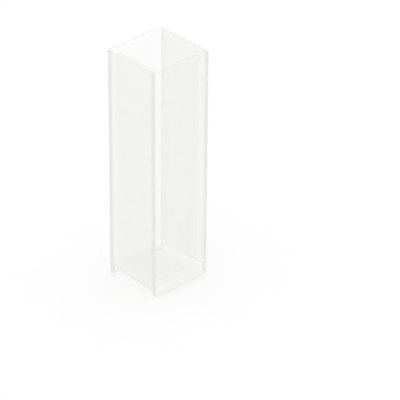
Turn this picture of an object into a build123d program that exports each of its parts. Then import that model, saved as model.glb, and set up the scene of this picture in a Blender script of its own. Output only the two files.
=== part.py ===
from build123d import *
import os

# Disposable cuvette: a tall square sample cell of clear plastic, injection moulded in one piece.
# Z runs up the middle of the well from the plane that the feet stand on. The X walls are notched at the
# bottom, and the Y walls run on down as the two feet. Lengths are millimetres, the draft is in degrees.

# Light path: the width of the well at the level where an instrument's beam crosses it
path_length = 10.0
beam_level = 15.0

# Moulded walls, which open slightly towards the rim so that the core and the part leave the mould
wall = 1.2
draft_angle = 0.1
height = 45.0

# Floor, held clear of the table by the feet
floor_thickness = 0.8
foot_height = 1.6

# Rounded edges of the moulding
corner_radius = 0.5
well_corner_radius = 0.4
floor_fillet = 0.3
rim_fillet = 0.35
foot_fillet = 0.4
notch_fillet = 0.3

# How far a cut runs past the face that it leaves through
overrun = 1.0

body_width = path_length + 2 * wall
floor_level = foot_height + floor_thickness
beam_plane = Plane.XY.offset(beam_level)

with BuildPart() as body:
    # Outside of the moulding, drafted about the beam level, from the rounded edge at the foot plane to the rim
    with BuildSketch():
        RectangleRounded(body_width, body_width, corner_radius)
    extrude(amount=height)
    draft(body.faces().filter_by(Axis.Z, reverse=True), beam_plane, -draft_angle)
    foot_face = body.faces().sort_by(Axis.Z)[0]
    fillet(foot_face.edges(), foot_fillet)

    # Well for the sample, drafted like the outside, from a floor with filleted corners out through the rim
    with BuildSketch(Plane.XY.offset(floor_level)):
        RectangleRounded(path_length, path_length, well_corner_radius)
    extrude(amount=height - floor_level + overrun, mode=Mode.SUBTRACT)
    draft(body.faces(Select.LAST).filter_by(Axis.Z, reverse=True), beam_plane, draft_angle)
    floor_face = body.faces().filter_by(Axis.Z).sort_by(Axis.Z)[1]
    fillet(floor_face.edges(), floor_fillet)

    # Rim, rounded over inside and outside the mouth
    rim_face = body.faces().sort_by(Axis.Z)[-1]
    fillet(rim_face.edges(), rim_fillet)

    # Notch under the floor, open through both X walls, which leaves the Y walls standing as feet
    with BuildSketch(Plane.YZ) as notch:
        with Locations((0, foot_height)):
            Rectangle(path_length, foot_height + overrun, align=(Align.CENTER, Align.MAX))
        fillet(notch.vertices().group_by(Axis.Y)[-1], notch_fillet)
    extrude(amount=body_width, both=True, mode=Mode.SUBTRACT)

    # Inner edges of the feet, rounded like the outer ones, and the notch's edges that run on from them
    foot_edges = body.edges().filter_by(Axis.X).group_by(Axis.Z)[0]
    fillet(foot_edges.sort_by(Axis.Y)[1:-1], foot_fillet)

body.part.label = "cuvette_body"

os.makedirs("parts", exist_ok=True)
export_step(body.part, "parts/cuvette_body.step")
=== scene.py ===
from math import copysign, radians, tan

import bmesh
import bpy
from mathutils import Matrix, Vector


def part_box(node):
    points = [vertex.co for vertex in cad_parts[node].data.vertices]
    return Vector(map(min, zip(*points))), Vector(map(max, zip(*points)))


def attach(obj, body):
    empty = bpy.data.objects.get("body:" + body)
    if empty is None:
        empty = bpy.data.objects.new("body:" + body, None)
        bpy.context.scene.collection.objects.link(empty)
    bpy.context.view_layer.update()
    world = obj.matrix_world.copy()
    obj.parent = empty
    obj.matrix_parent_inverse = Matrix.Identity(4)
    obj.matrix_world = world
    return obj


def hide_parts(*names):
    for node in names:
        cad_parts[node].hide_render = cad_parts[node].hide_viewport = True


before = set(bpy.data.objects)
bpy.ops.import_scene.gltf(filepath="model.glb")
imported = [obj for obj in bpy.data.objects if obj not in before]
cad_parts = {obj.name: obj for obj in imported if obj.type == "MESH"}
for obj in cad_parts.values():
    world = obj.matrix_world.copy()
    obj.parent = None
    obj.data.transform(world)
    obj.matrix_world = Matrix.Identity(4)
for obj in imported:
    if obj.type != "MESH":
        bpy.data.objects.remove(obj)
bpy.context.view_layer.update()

# Cuvette: one injection moulding of clear polystyrene, with four thin walls round the well, a raised floor
# and two feet. A drafted core forms the well. The mould is polished where it forms the two window walls,
# across Y, and finely blasted where it forms the outside of the two notched walls, across X.
path_length = 0.0100
wall = 0.0012
beam_level = 0.0150
draft = tan(radians(0.1))
foot_height = 0.0016
floor_level = 0.0024
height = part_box("cuvette_body")[1][2]
half_well = path_length / 2
half_body = half_well + wall
corner_radius = 0.0005
well_corner_radius = 0.0004
notch_fillet = 0.0003
floor_fillet = 0.0003
foot_fillet = 0.0004
rim_fillet = 0.00035
near = 1e-6

cuvette_mesh = bmesh.new()


def round_edges(chosen, radius, segments, slide=True):
    """Rounds the edges for which chosen(first end, second end) holds, but none that lies inside a flat."""
    edges = [edge for edge in cuvette_mesh.edges
             if chosen(*(vert.co for vert in edge.verts)) and edge.calc_face_angle(0) > radians(30)]
    bmesh.ops.bevel(cuvette_mesh, geom=edges, offset=radius, offset_type="OFFSET", affect="EDGES",
                    segments=segments, profile=0.5, material=-1, loop_slide=slide, clamp_overlap=False)


def both(test):
    """Turns a test of one point into a test of both ends of an edge."""
    return lambda a, b: test(a) and test(b)


def upright(a, b):
    """Tells whether an edge with these ends runs up the walls."""
    return abs(a.z - b.z) > height / 2


# The block with its feet, pushed across from its notched side
notched_side = [(half_body, 0), (half_body, height), (-half_body, height), (-half_body, 0),
                (-half_well, 0), (-half_well, foot_height), (half_well, foot_height), (half_well, 0)]
side = cuvette_mesh.faces.new([cuvette_mesh.verts.new((-half_body, y, z)) for y, z in notched_side])
pushed = bmesh.ops.extrude_face_region(cuvette_mesh, geom=[side])["geom"]
bmesh.ops.translate(cuvette_mesh, vec=(2 * half_body, 0, 0),
                    verts=[item for item in pushed if isinstance(item, bmesh.types.BMVert)])
bmesh.ops.recalc_face_normals(cuvette_mesh, faces=cuvette_mesh.faces[:])

# The core of the well, turned inside out
core = bmesh.ops.create_cube(cuvette_mesh, size=1.0)["verts"]
bmesh.ops.scale(cuvette_mesh, vec=(path_length, path_length, height - floor_level), verts=core)
bmesh.ops.translate(cuvette_mesh, vec=(0, 0, (floor_level + height) / 2), verts=core)
bmesh.ops.reverse_faces(cuvette_mesh, faces=list({face for vert in core for face in vert.link_faces}))

# The draft opens the outside and the well towards the rim. The notch stays straight.
for vert in cuvette_mesh.verts:
    for axis in (0, 1):
        if abs(vert.co[axis]) > half_well + near or vert.co.z > floor_level - near:
            vert.co[axis] += copysign(draft, vert.co[axis]) * (vert.co.z - beam_level)

# Rounded uprights, notch, floor and feet
mid_wall = half_well + wall / 2
round_edges(lambda a, b: upright(a, b) and abs(a.x) > mid_wall, corner_radius, 6)
round_edges(lambda a, b: upright(a, b) and abs(a.x) < mid_wall, well_corner_radius, 6)
round_edges(both(lambda p: abs(p.z - foot_height) < near and abs(abs(p.y) - half_well) < near),
            notch_fillet, 4)
round_edges(both(lambda p: abs(p.z - floor_level) < near and abs(p.x) < mid_wall), floor_fillet, 4)
round_edges(both(lambda p: p.z < foot_height + near), foot_fillet, 5)

# The rim joins the block to the well, and is rounded on both sides of the mouth
lids = [face for face in cuvette_mesh.faces if all(vert.co.z > height - near for vert in face.verts)]
bmesh.ops.delete(cuvette_mesh, geom=lids, context="FACES_ONLY")
mouth = [edge for edge in cuvette_mesh.edges if all(vert.co.z > height - near for vert in edge.verts)]
bmesh.ops.bridge_loops(cuvette_mesh, edges=mouth)
round_edges(both(lambda p: p.z > height - near), rim_fillet, 5, slide=False)

for face in cuvette_mesh.faces:
    face.smooth = True
cuvette_data = bpy.data.meshes.new("cuvette")
cuvette_mesh.to_mesh(cuvette_data)
cuvette_mesh.free()
cuvette = bpy.data.objects.new("cuvette", cuvette_data)
bpy.context.scene.collection.objects.link(cuvette)
flat_shading = cuvette.modifiers.new("flat faces stay flat", "WEIGHTED_NORMAL")
flat_shading.weight = 100


class Socket:
    """A shader node's output. Operators on it add Math nodes, and add() makes any other node."""

    def __init__(self, output):
        self.output = output
        self.tree = output.id_data

    @staticmethod
    def add(tree, kind, settings, inputs, output=0):
        """Adds a node, applies its settings, fills its inputs with values or links, and gives one output."""
        node = tree.nodes.new("ShaderNode" + kind)
        for name, value in settings.items():
            setattr(node, name, value)
        for name, value in inputs.items():
            if isinstance(value, Socket):
                tree.links.new(value.output, node.inputs[name])
            else:
                node.inputs[name].default_value = value
        return Socket(node.outputs[output]) if node.outputs else None

    def math(self, operation, *values):
        return Socket.add(self.tree, "Math", {"operation": operation}, dict(enumerate(values)))

    def __add__(self, other):
        return self.math("ADD", self, other)

    def __sub__(self, other):
        return self.math("SUBTRACT", self, other)

    def __rsub__(self, other):
        return self.math("SUBTRACT", other, self)

    def __mul__(self, other):
        return self.math("MULTIPLY", self, other)

    def __pow__(self, other):
        return self.math("POWER", self, other)

    def __abs__(self):
        return self.math("ABSOLUTE", self)

    __radd__ = __add__
    __rmul__ = __mul__

    def larger(self, other):
        return self.math("MAXIMUM", self, other)

    def smaller(self, other):
        return self.math("MINIMUM", self, other)

    def step(self, low, high):
        """Rises smoothly from 0 to 1 between two levels."""
        return Socket.add(self.tree, "MapRange", {"interpolation_type": "SMOOTHSTEP"},
                          {"Value": self, "From Min": low, "From Max": high})

    def blend(self, first, second):
        """Mixes two colours, from the first at 0 to the second at 1."""
        return Socket.add(self.tree, "Mix", {"data_type": "RGBA"}, {0: self, 6: first, 7: second}, 2)


cloud_scale = 110.0
grain_scale = 6000.0
matt_tint = (0.890, 0.891, 0.886, 1)
warm_matt_tint = (0.898, 0.896, 0.886, 1)
polished_tint = (0.800, 0.800, 0.795, 1)
floor_tint_with_painted_light = (0.960, 0.955, 0.930, 1)
corner_shade_tint = (0.730, 0.730, 0.725, 1)
glow_tint = (0.893, 0.892, 0.885, 1)

clear_plastic = bpy.data.materials.new("clear_plastic")
clear_plastic.use_nodes = True
tree = clear_plastic.node_tree
tree.nodes.clear()
place = Socket.add(tree, "TexCoord", {}, {}, "Object")
x, y, z = (Socket.add(tree, "SeparateXYZ", {}, {"Vector": place}, axis) for axis in "XYZ")

# Matt outside of the notched walls, short of their rounded edges. Over the solid corners it carries painted
# shade, darker and hazier, but half as strong over the one where X and Y are both positive.
matt = abs(x).step(half_body - 0.00015, half_body - 0.00005)
matt = matt * (1 - abs(y).step(half_body - 0.0004, half_body - 0.00025))
far_corner = x.smaller(y).step(-0.001, 0.001)
painted_corner_shade = abs(y).step(half_well - 0.0006, half_well + 0.0005) * matt * (1 - 0.5 * far_corner)

# The solid floor and corners, the top of the rim, and the rounded edges round it and underfoot
above_floor = z.step(floor_level - 0.0003, floor_level + 0.0003)
corner = abs(x).smaller(abs(y)).step(half_well - 0.0009, half_well - 0.0005) * above_floor
top = z.step(height - 0.0005, height - 0.0003)
rim = abs(x).larger(abs(y)).step(half_body - 0.0006, half_body - 0.0004) * top
underfoot = 1 - z.step(0.0001, 0.0004)

# How much of the light a face scatters: little where it is polished, about half of it where it is matt
cloud = Socket.add(tree, "TexNoise", {}, {"Vector": place, "Scale": cloud_scale, "Detail": 2.0})
grain = Socket.add(tree, "TexNoise", {}, {"Vector": place, "Scale": grain_scale, "Detail": 2.0})
glancing = Socket.add(tree, "LayerWeight", {}, {"Blend": 0.5}, "Facing")
haze = 0.06 + 0.07 * above_floor - 0.035 * corner - 0.04 * top + 0.15 * underfoot
# On the matt faces the haze grows towards the rim, so they are lighter towards the bottom: painted light.
# Painted shade: more haze over the solid corners.
haze = haze + matt * (0.41 + 0.06 * cloud + z * (0.10 / height)) + 0.36 * painted_corner_shade
haze = haze + 0.3 * glancing ** 4 + rim * glancing ** 2

# The scattered light comes partly from the side that is looked at and partly from behind
tint = cloud.blend(matt_tint, warm_matt_tint)
tint = matt.blend(polished_tint, tint)
# Painted light and a warmer colour: the solid floor and the feet below it are lighter and warmer.
tint = above_floor.blend(floor_tint_with_painted_light, tint)
# Painted shade: the solid corners are darker.
tint = painted_corner_shade.blend(tint, corner_shade_tint)
texture = Socket.add(tree, "Bump", {}, {"Strength": 0.05, "Distance": 0.0001, "Height": grain * matt})
roughness = 0.06 + matt * (0.4 + 0.2 * grain)
front = Socket.add(tree, "BsdfPrincipled", {},
                   {"Base Color": tint, "Roughness": roughness, "IOR": 1.55, "Normal": texture})
behind = Socket.add(tree, "BsdfTranslucent", {}, {"Color": glow_tint})
scattered = Socket.add(tree, "MixShader", {}, {0: 0.55, 1: front, 2: behind})
passed = Socket.add(tree, "BsdfTransparent", {}, {})
surface = Socket.add(tree, "MixShader", {}, {0: haze, 1: passed, 2: scattered})
Socket.add(tree, "OutputMaterial", {}, {"Surface": surface})
cuvette_data.materials.append(clear_plastic)
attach(cuvette, "root")
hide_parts("cuvette_body")

# Floor: a large sheet of matt white paper, which takes the soft shadow round the feet and is the background
# too. It lies a hair below the flat undersides of the feet, as two faces in one plane render speckled.
paper_half_width = 2.0
paper_level = -0.00002
floor_mesh = bmesh.new()
bmesh.ops.create_grid(floor_mesh, x_segments=1, y_segments=1, size=paper_half_width)
floor_data = bpy.data.meshes.new("floor")
floor_mesh.to_mesh(floor_data)
floor_mesh.free()
floor = bpy.data.objects.new("floor", floor_data)
bpy.context.scene.collection.objects.link(floor)
floor.location.z = paper_level
white_paper = bpy.data.materials.new("white_paper")
white_paper.use_nodes = True
paper = white_paper.node_tree.nodes["Principled BSDF"]
paper.inputs["Base Color"].default_value = (0.99, 0.99, 0.99, 1)
paper.inputs["Roughness"].default_value = 1.0
paper.inputs["Specular IOR Level"].default_value = 0.0
floor_data.materials.append(white_paper)

# Studio: an even white light tent. A look through the cuvette crosses more faces than the usual limit of 8,
# so that limit is raised.
world = bpy.data.worlds.new("studio")
bpy.context.scene.world = world
world.use_nodes = True
world.node_tree.nodes["Background"].inputs["Color"].default_value = (1, 1, 1, 1)
world.node_tree.nodes["Background"].inputs["Strength"].default_value = 1.02
bpy.context.scene.view_settings.view_transform = "Standard"
bpy.context.scene.cycles.transparent_max_bounces = 32

# Camera: a long lens half a metre away, as the photograph's flat perspective asks. It looks down on the
# cuvette past its front corner, and leans a little.
focal_pixels = 3000
image_width = 400
lean = radians(0.47)
camera_data = bpy.data.cameras.new("camera")
camera_data.sensor_width = 36
camera_data.lens = focal_pixels / image_width * camera_data.sensor_width
camera_data.clip_end = 10
camera = bpy.data.objects.new("camera", camera_data)
bpy.context.scene.collection.objects.link(camera)
camera.location = (-0.30728, -0.32911, 0.28782)
aim = Vector((0.02264, 0.01292, 0))
camera.rotation_euler = (aim - camera.location).to_track_quat("-Z", "Y").to_euler()
camera.rotation_euler.rotate_axis("Z", lean)
bpy.context.scene.camera = camera
